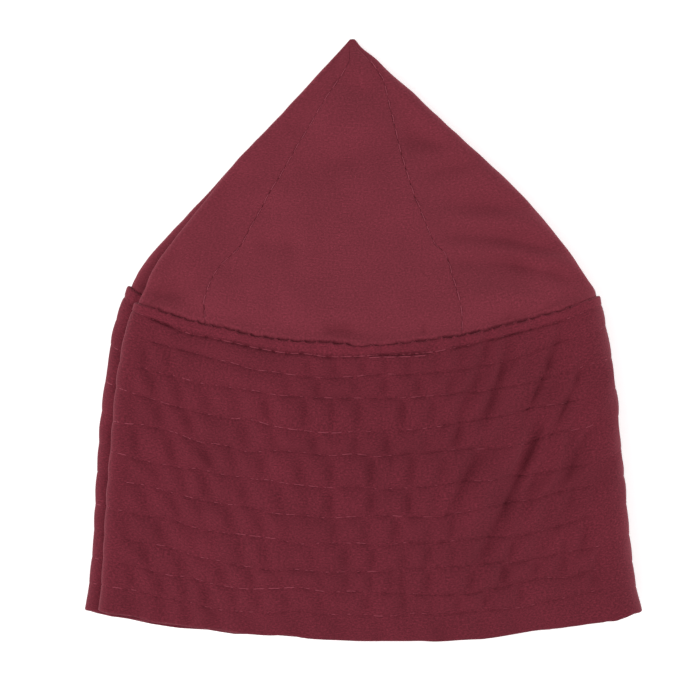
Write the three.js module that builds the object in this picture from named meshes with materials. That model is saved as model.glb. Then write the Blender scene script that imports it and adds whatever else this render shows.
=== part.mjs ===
// A kufi, a round brimless cloth cap: a crown of eight gores sewn into a tall quilted band.
// The cap is put away folded in half and in half again, and lies flat on a table:
// four thicknesses of cloth, two creases on the left, one fold on the right, the open hem in front.
// Millimetres. +Z is up, +Y runs from the hem to the crown's tip. The origin is on the table,
// under the middle of the cap.
import * as THREE from "three";

// The folded cap.
const LENGTH = 157.3; // from the lowest point of the hem to the crown's tip

// Cloth thicknesses and clearances.
const BAND_WALL = 1.4; // two cloths and a stiffener, quilted together
const CROWN_WALL = 1.0; // one thickness of cloth and its seam allowances
const FIT_GAP = 0.4; // between the crown and the inside of the band
const SEAM_GAP = 0.3; // between two gores
const RAMP = 0.4; // share of the width over which the pile swells, from a crease to its full height

// How finely the cloth is divided.
const BAND_ROWS = 12; // the crown reaches down inside the band by one of these
const TOP_FACE_STEPS = 18; // across the uppermost thickness of the band, from crease to fold
const HIDDEN_FACE_STEPS = 9; // and across each of the others
const TURN_STEPS = 5; // round one crease or fold
const CROWN_ROWS = 13;
const TOP_GORE_STEPS = 6; // across the part of a gore that lies on the uppermost face
const HIDDEN_GORE_STEPS = 4; // and on each of the others

const table = (names, rows) =>
  rows.map((row) => Object.fromEntries(names.map((name, i) => [name, row[i]])));

// Each row of BAND and CROWN is one section across the folded cap, on a line from crease to fold.
// Y is counted from the lowest point of the hem.
//   at            share of the height, from the lower edge (0) to the upper end (1)
//   topX, topY    the upper crease, which joins the two upper thicknesses
//   backX, backY  the lower crease, which joins the two lower ones
//   foldX, foldY  the fold on the right, outside
//   sag           how far the line hangs below the straight one between its ends
//   floor         height of the cloth's lowest face above the table
//   lowCrease     gap inside the lower crease; topCrease: the same in the upper one
//   middle        gap between the second and the third thickness
//   lower, upper  gap inside the lower and the upper half, in the middle of the width
const LINE = ["at", "topX", "topY", "backX", "backY", "foldX", "foldY", "sag"];
const GAPS = ["floor", "lowCrease", "middle", "topCrease", "lower", "upper"];

const BAND = table([...LINE, ...GAPS], [
  [0.0, -68.9, 8.8, -72.65, 8.5, 72.8, 7.6, 8.2, 0, 4.2, 0.8, 3.4, 6.8, 7.0],
  [0.1, -68.3, 16.8, -71.7, 16.9, 70.8, 15.8, 8.5, 0, 4.2, 0.8, 3.4, 6.8, 7.1],
  [0.25, -67.6, 28.8, -70.8, 29.6, 69.4, 28.2, 9.0, 0, 4.3, 0.8, 3.5, 6.9, 7.2],
  [0.5, -66.3, 48.8, -69.1, 50.7, 67.6, 48.8, 10.1, 0, 4.4, 0.8, 3.6, 7.0, 7.3],
  [0.75, -64.4, 68.7, -66.9, 71.8, 65.5, 69.4, 11.2, 0, 4.5, 0.8, 3.7, 7.0, 7.3],
  [0.9, -62.4, 80.7, -64.6, 84.5, 63.3, 81.8, 11.8, 0, 4.6, 0.8, 3.8, 7.0, 7.2],
  [1.0, -59.8, 88.7, -61.6, 92.9, 61.9, 90.0, 12.2, 0, 4.6, 0.8, 3.8, 7.0, 7.2],
]);

// The crown above the band. seamLeft and seamRight are the two seams on the upper face, as shares
// of its width.
const CROWN = table([...LINE, ...GAPS, "seamLeft", "seamRight"], [
  [0.09, -55.6, 96.0, -59.1, 97.0, 57.5, 96.0, 11.2, 1.4, 2.0, 3.6, 1.4, 4.5, 4.7, 0.15, 0.7],
  [0.19, -51.3, 103.0, -54.1, 103.4, 53.0, 103.0, 9.8, 0.9, 2.0, 2.4, 1.6, 4.6, 4.8, 0.165, 0.69],
  [0.34, -43.3, 113.0, -44.9, 113.0, 44.8, 113.0, 7.8, 0.4, 1.8, 1.6, 1.6, 4.4, 4.7, 0.19, 0.66],
  [0.5, -34.0, 124.0, -34.2, 124.0, 34.5, 124.0, 5.6, 0, 1.5, 1.2, 1.4, 3.6, 4.2, 0.2, 0.67],
  [0.67, -24.3, 135.0, -24.5, 135.0, 22.4, 135.0, 3.4, 0, 1.1, 0.9, 1.1, 2.6, 3.2, 0.23, 0.69],
  [0.82, -15.0, 145.0, -15.2, 145.0, 11.3, 145.0, 1.2, 0, 0.8, 0.7, 0.8, 1.5, 2.0, 0.28, 0.76],
  [0.92, -8.7, 152.0, -8.8, 152.0, 4.2, 152.0, 0.2, 0, 0.6, 0.8, 0.6, 0.8, 1.0, 0.36, 0.8],
  [1.0, -5.5, 156.8, -5.5, 156.8, 0.4, 156.8, -0.5, 0, 0.6, 0.8, 0.6, 0.6, 0.6, 0.4, 0.76],
]);

// Dents in the uppermost thickness: the middle, the direction they run in (degrees from +X), half
// their length and width, and their depth. A ridge has a depth below zero.
const DENTS = table(["x", "y", "runs", "length", "width", "depth"], [
  [26, 47, 55, 26, 7, 0.9],
  [41, 58, 57, 24, 6, 0.7],
  [-3, 38, 82, 24, 7, 0.6],
  [-30, 46, 98, 24, 8, 0.6],
  [-52, 40, 88, 26, 8, -0.4],
  [10, 128, 75, 18, 9, 0.6],
  [43, 101, -22, 16, 5, 0.8],
  [40, 107, -24, 16, 5, -0.5],
  [-8, 112, 8, 30, 8, 0.5],
]);

// The stretches of a section, in order round the cloth.
const [TOP_CREASE, TOP_FACE, OUTER_FOLD, UNDER_FACE] = [0, 1, 2, 3];
const [BACK_CREASE, LOWER_INNER, INNER_FOLD, UPPER_INNER] = [4, 5, 6, 7];
const STRETCHES = 8;

// The seams on the three hidden thicknesses: the stretch, and the share of it from its start.
const HIDDEN_SEAMS = table(["stretch", "share"], [
  [UNDER_FACE, 0.24],
  [UNDER_FACE, 0.74],
  [LOWER_INNER, 0.24],
  [LOWER_INNER, 0.74],
  [UPPER_INNER, 0.26],
  [UPPER_INNER, 0.76],
]);

const CLOTH = { color: 0x73303b, roughness: 0.9, metalness: 0 };

// A section between two rows of a table: each column is one smooth curve through its rows.
function sectionAt(rows, at) {
  const last = rows.length - 1;
  let i = 0;
  while (i < last - 1 && rows[i + 1].at < at) i += 1;
  const [before, from, to, after] = [i - 1, i, i + 1, i + 2].map(
    (k) => rows[THREE.MathUtils.clamp(k, 0, last)],
  );
  const step = to.at - from.at;
  const t = (at - from.at) / step;
  const section = {};
  for (const name of Object.keys(from)) {
    const slopeFrom = ((to[name] - before[name]) / (to.at - before.at)) * step;
    const slopeTo = ((after[name] - from[name]) / (after.at - from.at)) * step;
    section[name] =
      from[name] * (2 * t ** 3 - 3 * t ** 2 + 1) +
      to[name] * (3 * t ** 2 - 2 * t ** 3) +
      slopeFrom * (t ** 3 - 2 * t ** 2 + t) +
      slopeTo * (t ** 3 - t ** 2);
  }
  return section;
}

// The crown where it lies inside the band: the band's section, taken in by a wall and a gap.
function tuckedSection(at) {
  const section = sectionAt(BAND, at);
  const wall = BAND_WALL + FIT_GAP;
  const lost = 2 * (FIT_GAP + CROWN_WALL);
  return {
    ...section,
    topX: section.topX + wall,
    backX: section.backX + wall,
    foldX: section.foldX - wall,
    floor: section.floor + wall,
    middle: section.middle + 2 * wall,
    lowCrease: section.lowCrease - lost,
    topCrease: section.topCrease - lost,
    lower: section.lower - lost,
    upper: section.upper - lost,
  };
}

const { seamLeft, seamRight } = CROWN[0];
const CROWN_FOOT = { ...tuckedSection(1), at: 0, seamLeft, seamRight };
const WHOLE_CROWN = [CROWN_FOOT, ...CROWN];

// at runs from below 0, inside the band, past 0 at the band's upper edge, to 1 at the tip.
const crownSection = (at) =>
  at < 0 ? { ...CROWN_FOOT, ...tuckedSection(1 + at) } : sectionAt(WHOLE_CROWN, at);

const swell = (share) => THREE.MathUtils.smootherstep(Math.min(share, 1 - share), 0, RAMP);

function dentAt(x, y) {
  return DENTS.reduce((sum, dent) => {
    const runs = THREE.MathUtils.degToRad(dent.runs);
    const [dx, dy] = [x - dent.x, y - dent.y];
    const along = (dx * Math.cos(runs) + dy * Math.sin(runs)) / dent.length;
    const across = (dy * Math.cos(runs) - dx * Math.sin(runs)) / dent.width;
    return sum + dent.depth * Math.exp(-(along ** 4) - across ** 2);
  }, 0);
}

// Upper and lower half have creases of their own, so their lines differ a little.
function lineY(s, x, creaseX, creaseY) {
  const share = (x - creaseX) / (s.foldX - creaseX);
  return THREE.MathUtils.lerp(creaseY, s.foldY, share) - s.sag * 4 * share * (1 - share);
}

// Where the middle of the cloth lies on a section: the heights of the four thicknesses at their
// edges, and where the turns begin.
function frameOf(s, wall) {
  const under = Math.max(s.floor, 0) + wall / 2;
  const third = under + s.lowCrease + wall;
  const second = third + s.middle + wall;
  const top = second + s.topCrease + wall;
  return {
    under,
    third,
    second,
    top,
    foldAt: s.foldX - wall / 2 - (top - under) / 2,
    topAt: s.topX + wall / 2 + (top - second) / 2,
    backAt: s.backX + wall / 2 + (third - under) / 2,
  };
}

// The middle of the cloth at a place on a section, where round = stretch + share of the stretch.
// Turns are half circles, and the four faces run between them.
function middleOf(s, wall, round) {
  const { under, third, second, top, foldAt, topAt, backAt } = frameOf(s, wall);
  const lift = s.lower - s.lowCrease;
  const topLift = lift + s.upper - s.topCrease;
  const stretch = Math.floor(round) % STRETCHES;
  const share = round - Math.floor(round);
  // A half circle from low to high or back, bulging to one side (1 right, -1 left).
  const turn = (x, from, to, side) => {
    const radius = Math.abs(to - from) / 2;
    const angle = Math.PI * share;
    return [x + side * radius * Math.sin(angle), (from + to) / 2 + ((from - to) / 2) * Math.cos(angle)];
  };
  const face = (from, to, level, rise) => [
    THREE.MathUtils.lerp(from, to, share),
    level + rise * swell(share),
  ];
  const places = {
    [TOP_CREASE]: () => turn(topAt, second, top, -1),
    [TOP_FACE]: () => face(topAt, foldAt, top, topLift),
    [OUTER_FOLD]: () => turn(foldAt, top, under, 1),
    [UNDER_FACE]: () => face(foldAt, backAt, under, 0),
    [BACK_CREASE]: () => turn(backAt, under, third, -1),
    [LOWER_INNER]: () => face(backAt, foldAt, third, lift),
    [INNER_FOLD]: () => turn(foldAt, third, second, 1),
    [UPPER_INNER]: () => face(foldAt, topAt, second, lift),
  };
  const [x, z] = places[stretch]();

  // How far up between the lower half's line (0) and the upper half's (1).
  const level = THREE.MathUtils.smoothstep(z, (under + third) / 2, (second + top) / 2);
  const upper = lineY(s, x, s.topX, s.topY);
  const lower = lineY(s, x, s.backX, s.backY);
  const y = THREE.MathUtils.lerp(lower, upper, level);
  const dent = stretch === TOP_FACE ? dentAt(x, y) * swell(share) : 0;
  return new THREE.Vector3(x, y - LENGTH / 2, z - dent);
}

// The outer (side 1) or inner (side -1) face of the cloth, half a wall from its middle.
function faceOf(section, wall, round, side) {
  const nudge = 1e-3;
  const from = middleOf(section, wall, (round - nudge + STRETCHES) % STRETCHES);
  const to = middleOf(section, wall, (round + nudge) % STRETCHES);
  const along = new THREE.Vector2(to.x - from.x, to.z - from.z).normalize();
  const point = middleOf(section, wall, round % STRETCHES);
  point.x -= (along.y * side * wall) / 2;
  point.z += (along.x * side * wall) / 2;
  return point;
}

// On every other thickness the section runs back over the one below, so its faces are split the
// other way, and two thicknesses that lie together have their edges in the same places.
const runsBack = (round) =>
  [UNDER_FACE, INNER_FOLD, UPPER_INNER].includes(Math.floor(round) % STRETCHES);

// A closed solid from a grid of cloth: places[row][column] is {section, round}. A looped grid's
// last column joins its first.
function clothSolid(places, wall, looped) {
  const rows = places.length;
  const columns = places[0].length;
  const positions = [];
  for (const side of [1, -1])
    for (const row of places)
      for (const { section, round } of row)
        positions.push(...faceOf(section, wall, round, side).toArray());

  const outer = (row, column) => row * columns + (column % columns);
  const inner = (row, column) => rows * columns + outer(row, column);
  const indices = [];
  const quad = (a, b, c, d, mirrored = false) =>
    mirrored ? indices.push(a, b, d, b, c, d) : indices.push(a, b, c, a, c, d);
  const spans = looped ? columns : columns - 1;
  for (let r = 0; r < rows - 1; r += 1)
    for (let c = 0; c < spans; c += 1) {
      const back = runsBack(places[r][c].round);
      quad(outer(r, c), outer(r, c + 1), outer(r + 1, c + 1), outer(r + 1, c), back);
      quad(inner(r + 1, c), inner(r + 1, c + 1), inner(r, c + 1), inner(r, c), !back);
    }
  for (let c = 0; c < spans; c += 1) {
    quad(inner(0, c), inner(0, c + 1), outer(0, c + 1), outer(0, c));
    quad(outer(rows - 1, c), outer(rows - 1, c + 1), inner(rows - 1, c + 1), inner(rows - 1, c));
  }
  if (!looped)
    for (let r = 0; r < rows - 1; r += 1) {
      const end = columns - 1;
      quad(outer(r, 0), outer(r + 1, 0), inner(r + 1, 0), inner(r, 0));
      quad(inner(r, end), inner(r + 1, end), outer(r + 1, end), outer(r, end));
    }
  const geometry = new THREE.BufferGeometry();
  geometry.setAttribute("position", new THREE.Float32BufferAttribute(positions, 3));
  geometry.setIndex(indices);
  geometry.computeVertexNormals();
  return geometry;
}

const isTurn = (stretch) => stretch % 2 === 0;

// Places round a section from one to another, with the same number on every section.
function roundsBetween(from, to, topSteps, hiddenSteps) {
  const rounds = [];
  for (let stretch = Math.floor(from); stretch < to; stretch += 1) {
    const start = Math.max(from, stretch);
    const end = Math.min(to, stretch + 1);
    const faceSteps = stretch % STRETCHES === TOP_FACE ? topSteps : hiddenSteps;
    const steps = isTurn(stretch % STRETCHES) ? TURN_STEPS : faceSteps;
    for (let i = 0; i < steps; i += 1) rounds.push(start + ((end - start) * i) / steps);
  }
  return [...rounds, to];
}

function cloth(name, geometry) {
  const mesh = new THREE.Mesh(geometry, new THREE.MeshStandardMaterial(CLOTH));
  mesh.name = name;
  return mesh;
}

function quiltedBand() {
  const whole = roundsBetween(TOP_CREASE, STRETCHES, TOP_FACE_STEPS, HIDDEN_FACE_STEPS);
  const rounds = whole.slice(0, -1);
  const places = Array.from({ length: BAND_ROWS + 1 }, (_, row) => {
    const section = sectionAt(BAND, row / BAND_ROWS);
    return rounds.map((round) => ({ section, round }));
  });
  return cloth("band", clothSolid(places, BAND_WALL, true));
}

// Where the eight seams cross a section of the crown, in order round the cloth.
const seamsOf = (section) => [
  TOP_FACE + section.seamLeft,
  TOP_FACE + section.seamRight,
  ...HIDDEN_SEAMS.map((seam) => seam.stretch + seam.share),
];

// One gore, from a seam to the next.
function crownGore(number) {
  const aboveBand = Array.from({ length: CROWN_ROWS + 1 }, (_, i) => i / CROWN_ROWS);
  const heights = [-1 / BAND_ROWS, ...aboveBand];
  const places = heights.map((at) => {
    const section = crownSection(at);
    const seams = seamsOf(section);
    const { foldAt, topAt } = frameOf(section, CROWN_WALL);
    const gap = SEAM_GAP / 2 / (foldAt - topAt);
    const from = seams[number] + gap;
    const last = number === seams.length - 1;
    const to = (last ? seams[0] + STRETCHES : seams[number + 1]) - gap;
    const rounds = roundsBetween(from, to, TOP_GORE_STEPS, HIDDEN_GORE_STEPS);
    return rounds.map((round) => ({ section, round }));
  });
  return cloth(`crown_gore_${number + 1}`, clothSolid(places, CROWN_WALL, false));
}

const cap = new THREE.Group();
cap.name = "kufi_cap";
cap.add(quiltedBand());
for (let number = 0; number < 2 + HIDDEN_SEAMS.length; number += 1) cap.add(crownGore(number));

export default cap;
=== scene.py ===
"""A kufi: a round brimless cap of maroon cotton, with a pointed crown of eight gores and a tall
band quilted with rows of stitching. It is folded in half and in half again, and lies flat.

The tables are in millimetres. Y is counted from the lowest point of the hem, towards the tip.
x and y are places on the flat pile. u and v are places on the cloth: how far round it, and how far
up from the hem or, on the crown, from the band's upper edge."""

import math

import bpy
import numpy as np
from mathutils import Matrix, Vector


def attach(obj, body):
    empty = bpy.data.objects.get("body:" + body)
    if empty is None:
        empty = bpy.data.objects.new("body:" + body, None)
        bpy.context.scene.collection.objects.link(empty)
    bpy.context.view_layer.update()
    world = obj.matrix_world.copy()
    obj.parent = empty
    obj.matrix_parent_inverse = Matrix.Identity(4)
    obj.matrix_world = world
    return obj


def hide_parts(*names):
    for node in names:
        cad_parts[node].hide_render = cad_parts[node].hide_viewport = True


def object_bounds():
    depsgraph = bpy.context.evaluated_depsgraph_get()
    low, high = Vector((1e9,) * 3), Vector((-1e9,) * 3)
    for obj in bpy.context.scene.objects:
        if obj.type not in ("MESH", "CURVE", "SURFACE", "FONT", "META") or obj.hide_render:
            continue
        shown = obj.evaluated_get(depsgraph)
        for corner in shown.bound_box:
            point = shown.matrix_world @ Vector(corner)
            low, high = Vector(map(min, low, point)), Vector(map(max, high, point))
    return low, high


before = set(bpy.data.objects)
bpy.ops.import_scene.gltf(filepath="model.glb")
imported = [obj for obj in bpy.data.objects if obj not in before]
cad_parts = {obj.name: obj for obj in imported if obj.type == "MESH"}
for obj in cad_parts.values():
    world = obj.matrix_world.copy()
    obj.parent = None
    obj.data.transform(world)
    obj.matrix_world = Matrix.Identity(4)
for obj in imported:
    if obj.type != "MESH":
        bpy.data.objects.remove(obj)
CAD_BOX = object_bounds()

# ---- sizes ----

LENGTH = 157.3  # of the folded cap, from the hem to the tip
SOLIDS_LENGTH = 157.4  # of the solids, in the same unit
MM = (CAD_BOX[1].y - CAD_BOX[0].y) / SOLIDS_LENGTH  # one of the tables' millimetres, in metres
MIDDLE = np.array([*((CAD_BOX[0] + CAD_BOX[1]) / 2).xy, CAD_BOX[0].z])

BAND_HEIGHT = 81.0
BAND_WALL = 1.4  # two cloths with a stiffener between them
CROWN_HEIGHT = 78.0  # along the cloth, from the band's edge to the tip
CROWN_WALL = 1.0
TIP_WALL = 0.3  # of the crown at its tip, where all the thicknesses meet
FIT_GAP = 0.25  # between the crown and the inside of the band
SEAM_GAP = 0.06  # between two gores
EDGE_RADIUS = 0.35  # of a turned edge
EDGE_THINNING = 0.6  # how much thinner the band's wall is at its upper edge
THINS_FROM, THINS_TO = 0.94, 0.99  # as shares of the band's height
RAMP = 0.4  # the share of a face over which it rises from its crease
DENT_CLEAR = 0.03  # the share of a face beside its crease that dents keep off
LOWEST = 0.02  # of the cloth, above the ground

STITCH_PITCH = 4.0
STITCH_LENGTH = 3.8
THREAD = 0.28  # thickness
SEAM_STITCH_LENGTH = 2.8  # of the short stitches that show in the crown's seams
SEAM_THREAD = 0.24
HOLE_REACH = 0.45  # of the hollow round a needle hole

UV_UNIT = 100.0  # a UV of 1 is this many millimetres of cloth


def table(names, rows):
    """A short table as one array for each named column."""
    return dict(zip(names.split(), np.array(rows, float).T))


# Each row is one section across the folded cap, on a line from the left creases to the right fold.
# at is how far up the band or the crown it lies, as a share. top and back are the upper and lower
# crease, sag is how far the line hangs between its ends, and the rest are the gaps between the
# thicknesses of cloth.
SECTION = "at top_x top_y back_x back_y fold_x fold_y sag floor low_crease middle top_crease lower upper"
BAND = table(SECTION, [
    [0, -69.3, 8.8, -73.1, 8.2, 73.2, 7.6, 8.2, 0, 4.2, 0.8, 3.4, 6.8, 7],
    [0.1, -68.4, 16.8, -71.8, 16.7, 71.3, 15.8, 8.5, 0, 4.2, 0.8, 3.4, 6.8, 7.1],
    [0.25, -67.7, 28.8, -70.7, 29.4, 69.8, 28.2, 9, 0, 4.3, 0.8, 3.5, 6.9, 7.2],
    [0.5, -66.3, 48.8, -69.5, 50.7, 67.9, 48.8, 10.1, 0, 4.4, 0.8, 3.6, 7, 7.3],
    [0.75, -64.4, 68.7, -67.3, 71.8, 65.9, 69.4, 11.2, 0, 4.5, 0.8, 3.7, 7, 7.3],
    [0.9, -62.4, 80.7, -64.8, 84.8, 63.7, 82.1, 11.8, 0, 4.6, 0.8, 3.8, 7, 7.2],
    [1, -59.8, 88.7, -61.8, 93.2, 62.1, 90.6, 12.2, 0, 4.6, 0.8, 3.8, 7, 7.2],
])
CROWN = table(SECTION, [
    [0.03, -57.4, 91.8, -60.2, 94.4, 60.6, 92, 11.8, 1.6, 2, 3.6, 1.4, 4.5, 4.7],
    [0.09, -55.6, 96, -58.5, 97.4, 58.2, 96, 11.2, 1.4, 2, 3.6, 1.4, 4.5, 4.7],
    [0.19, -51.3, 103, -53.9, 103.4, 53.4, 103, 9.8, 0.9, 2, 2.4, 1.6, 4.6, 4.8],
    [0.34, -43.3, 113, -44.9, 113, 45.1, 113, 7.8, 0.4, 1.8, 1.6, 1.6, 4.4, 4.7],
    [0.5, -34.8, 124, -35, 124, 34, 124, 5.6, 0, 1.5, 1.2, 1.4, 3.6, 4.2],
    [0.67, -24.1, 135, -24.3, 135, 22.3, 135, 3.4, 0, 1.1, 0.9, 1.1, 2.6, 3.2],
    [0.82, -14.5, 145, -14.7, 145, 11.3, 145, 1.2, 0, 0.8, 0.7, 0.8, 1.5, 2],
    [0.92, -8.2, 152.2, -8.3, 152.2, 3.5, 152.2, 0.2, 0, 0.5, 0.5, 0.5, 0.8, 1],
    [0.97, -5.4, 155.4, -5.5, 155.4, -0.3, 155.4, -0.2, 0, 0.3, 0.3, 0.3, 0.4, 0.5],
    [1, -3.4, 157.8, -3.4, 157.8, -2.2, 157.8, -0.1, 0, 0.1, 0.1, 0.1, 0.1, 0.1],
])

# How much higher the hem lies than an even curve, along the uppermost face.
HEM = table("x rise", [
    [-73, -0.1], [-66, -0.5], [-61, -0.45], [-57, -0.1], [-52, -0.3],
    [-43, 0], [-38, 0.15], [-29, 0.05], [-24, 0.5], [-20, 0.9],
    [-15, 0.3], [-8, 0.3], [4, 0.1], [18, 0], [28, -0.3],
    [40, 0.25], [51, -0.25], [60, -0.5], [65, 0.2], [73, -0.5],
])

# Where the two seams of the uppermost face run: the x of each, at heights up the pile.
SEAMS = table("y left right", [
    [70, -41, 26], [84, -41.2, 25.5], [89, -41.3, 25], [95.5, -39, 22.9],
    [98.6, -37, 22], [101.6, -33.6, 21.1], [103.6, -31.8, 18.6], [106, -30.4, 17.4],
    [116.7, -24.6, 13.3], [129.2, -17.4, 9.3], [142.3, -9.3, 6.3], [148, -5.8, 5.1],
    [150, -4.6, 4.9], [151.5, -3.7, 5.2], [153.5, -3, 4], [157.8, -2.9, 0],
])

# The rows of stitching, as shares of the band's height. The last is the topstitch along its edge.
STITCH_ROWS = np.array([0.087, 0.161, 0.238, 0.33, 0.429, 0.519, 0.622, 0.716, 0.813, 0.895, 0.966])
TOPSTITCH = len(STITCH_ROWS) - 1

# How each kind of row presses the cloth in: the extra depth at its needle holes, the depth of its
# groove, how uneven and how much deeper to the right that is, and how wide the groove is.
ROW_SEWN = {"hole": 0.3, "groove": 0.16, "uneven": 0.0, "to_right": 0.14, "reach": 0.25}
EDGE_SEWN = {"hole": 0.5, "groove": 0.75, "uneven": 0.4, "to_right": -0.35, "reach": 0.3}

# Long creases and broad dents in the uppermost thickness: the middle, the way they run (degrees
# from +X), half their length and width, and their depth. A ridge has a depth below zero.
DENTS = table("x y runs length width depth", [
    [45.2, 66, 66, 15, 2, 1.9], [40.8, 68, 66, 14, 3, -1.3],
    [38.8, 40.4, 64, 20, 2.2, 1.9], [34.2, 42.8, 64, 18, 3.2, -1.4],
    [54.5, 65.5, 67, 10, 1.7, 1.5], [57, 50.5, 65, 10, 1.7, 1.5],
    [60.5, 68, 66, 8, 1.8, 0.7], [61.5, 42, 66, 8, 1.8, 0.7],
    [52, 33, 62, 10, 2, 0.9], [19.5, 53, 66, 7, 1.8, 0.7],
    [29, 47.5, 64, 7, 1.9, 0.8], [24.5, 38.5, 62, 8, 1.9, 0.8],
    [42.5, 74, 40, 5, 3.5, 0.9], [-30, 46, 112, 24, 8, 0.35],
    [-52, 40, 96, 26, 8, -0.3], [48, 103.2, -13, 13, 2.7, 1.5],
    [27.5, 106, -1, 11, 2.6, 1], [50, 96.2, -14, 13, 2.7, 1.6],
    [30, 98.9, -2, 11, 2.6, 1.2], [45, 100.2, -12, 13, 1.8, -1.1],
    [38, 89.5, -4, 13, 2.8, -1.1], [35, 109.8, -6, 15, 2.2, -0.8],
    [32.6, 114.6, -4, 13, 3.2, 1.3], [24.5, 124.5, 14, 10, 2.5, 1.2],
    [16.5, 131.3, -6, 7, 2.6, 1], [-6, 81.9, 0, 4.5, 2, 1.2],
    [16, 81.8, 80, 2.2, 1.1, 0.6], [38, 85.5, 82, 2.6, 1.1, 0.6],
    [-3, 127.5, 18, 17, 6, 2.2], [-2, 145.5, -20, 6, 3.2, 1.4],
    [-22, 104, 0, 6, 2.8, 0.9], [-49, 92, 15, 8, 3, 1.3],
    [-6, 112, 8, 26, 8, -0.35],
])

# How the quilted cloth gathers: the middle and reach of each patch, the spare length in it as a
# share, how far its ripples lean from upright, in degrees clockwise, and how firmly the rows of
# stitching hold it down.
GATHERS = table("x y reach_x reach_y spare lean firmness", [
    [-48, 42, 14, 36, 0.036, -20, 1], [-20, 44, 16, 38, 0.046, -10, 1],
    [8, 40, 14, 40, 0.052, 3, 0.8], [33, 56, 13, 28, 0.06, 30, 0.12],
    [50, 60, 11, 24, 0.052, 30, 0.08], [28, 15, 14, 12, 0.048, 12, 1],
    [-62, 60, 10, 30, 0.03, -16, 1], [-46, 13, 18, 9, 0.03, -8, 1],
    [56, 20, 12, 14, 0.036, 15, 0.5], [63, 50, 7, 30, 0.06, 26, 0.9],
])

SPARE_ALL_OVER = 0.003  # the spare length between the patches

# How far the crown's cloth stands up beside the band's upper edge.
EDGE_RISE = 0.85

# How deep the crevice is between that edge and the crown, along the uppermost face.
CREVICE = table("x depth", [
    [-62, 0], [-44, 0.1], [-31, 0.4], [-8, 0.4], [2, 0],
    [12, 0.1], [20, 0.4], [30, 0.4], [42, 0.1], [62, 0],
])

# A section has eight stretches round the cloth, turns and faces by turns. 0 is the upper crease,
# 4 the lower crease, and 6 the fold inside the outer one.
TOP_FACE, OUTER_FOLD, UNDER_FACE, LOWER_INNER, UPPER_INNER = 1, 2, 3, 5, 7
STRETCHES = 8

# Where the seams run that can't be seen from above: a stretch and a share of it.
HIDDEN_SEAMS = [face + share for face in (UNDER_FACE, LOWER_INNER) for share in (0.24, 0.74)]
HIDDEN_SEAMS += [UPPER_INNER + share for share in (0.26, 0.76)]

# ---- the folded form ----


def smooth(x, low=0.0, high=1.0):
    """From 0 at low to 1 at high, level at both ends."""
    t = np.clip((x - low) / (high - low), 0, 1)
    return t**3 * (t * (6 * t - 15) + 10)


def near(distance, reach):
    """1 at no distance, falling away to nothing over about twice the reach."""
    return np.exp(-((distance / reach) ** 2))


def lumps(x, y, seed, size=(1, 1), height=1):
    """Smooth noise, at most this high or deep, in lumps of this size along x and y. It is the same
    every time. With one number for y, it varies along x only."""
    cells = 256
    values = np.random.default_rng(seed).uniform(-1, 1, (cells, cells))
    x, y = x / size[0], y / size[1]
    ix, iy = np.floor(x).astype(int), np.floor(y).astype(int)
    fx, fy = smooth(x - ix), smooth(y - iy)
    ix, iy, jx, jy = ix % cells, iy % cells, (ix + 1) % cells, (iy + 1) % cells
    low = values[ix, iy] * (1 - fx) + values[jx, iy] * fx
    high = values[ix, jy] * (1 - fx) + values[jx, jy] * fx
    return height * (low * (1 - fy) + high * fy)


def unit(vectors):
    return vectors / np.linalg.norm(vectors, axis=-1, keepdims=True)


def sections_at(rows, at):
    """The sections at these heights: each column is a smooth curve through the table's rows."""
    knots = rows["at"]
    last = len(knots) - 1
    i = np.clip(np.searchsorted(knots, at) - 1, 0, last - 1)
    step = knots[i + 1] - knots[i]
    t = (at - knots[i]) / step
    before = np.maximum(np.arange(last + 1) - 1, 0)
    after = np.minimum(np.arange(last + 1) + 1, last)
    sections = {}
    for name, column in rows.items():
        slope = (column[after] - column[before]) / (knots[after] - knots[before])
        sections[name] = (
            column[i] * (2 * t**3 - 3 * t**2 + 1)
            + column[i + 1] * (3 * t**2 - 2 * t**3)
            + slope[i] * step * (t**3 - 2 * t**2 + t)
            + slope[i + 1] * step * (t**3 - t**2)
        )
    return sections


def edge_thinning(at):
    """How much thinner the band's wall is at its turned upper edge, on the inside."""
    return EDGE_THINNING * smooth(at, THINS_FROM, THINS_TO)


def tucked_sections(at):
    """The crown where it lies inside the band, at shares of the band's height."""
    s = sections_at(BAND, at)
    wall = BAND_WALL + FIT_GAP - edge_thinning(at)
    lost = 2 * (FIT_GAP + CROWN_WALL - edge_thinning(at))
    shifts = {"top_x": wall, "back_x": wall, "fold_x": -wall, "floor": wall, "middle": 2 * wall}
    shifts |= dict.fromkeys(["low_crease", "top_crease", "lower", "upper"], -lost)
    return s | {name: s[name] + shift for name, shift in shifts.items()}


CROWN_FOOT = tucked_sections(np.array([1.0]))
CROWN_FOOT["at"] = np.array([0.0])
WHOLE_CROWN = {name: np.append(CROWN_FOOT[name], CROWN[name]) for name in CROWN}


def crown_sections(at):
    """at is below 0 inside the band, 0 at the band's upper edge and 1 at the tip."""
    above = sections_at(WHOLE_CROWN, np.maximum(at, 0))
    inside = tucked_sections(np.minimum(1 + at, 1))
    return {name: np.where(at < 0, inside[name], above[name]) for name in CROWN}


def edge_wave(x):
    """How far the band's upper edge strays from an even curve, along the uppermost face."""
    return lumps(x, 0, 34, size=(9, 1), height=0.3) + lumps(x, 0, 35, size=(2.3, 1), height=0.12)


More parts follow.
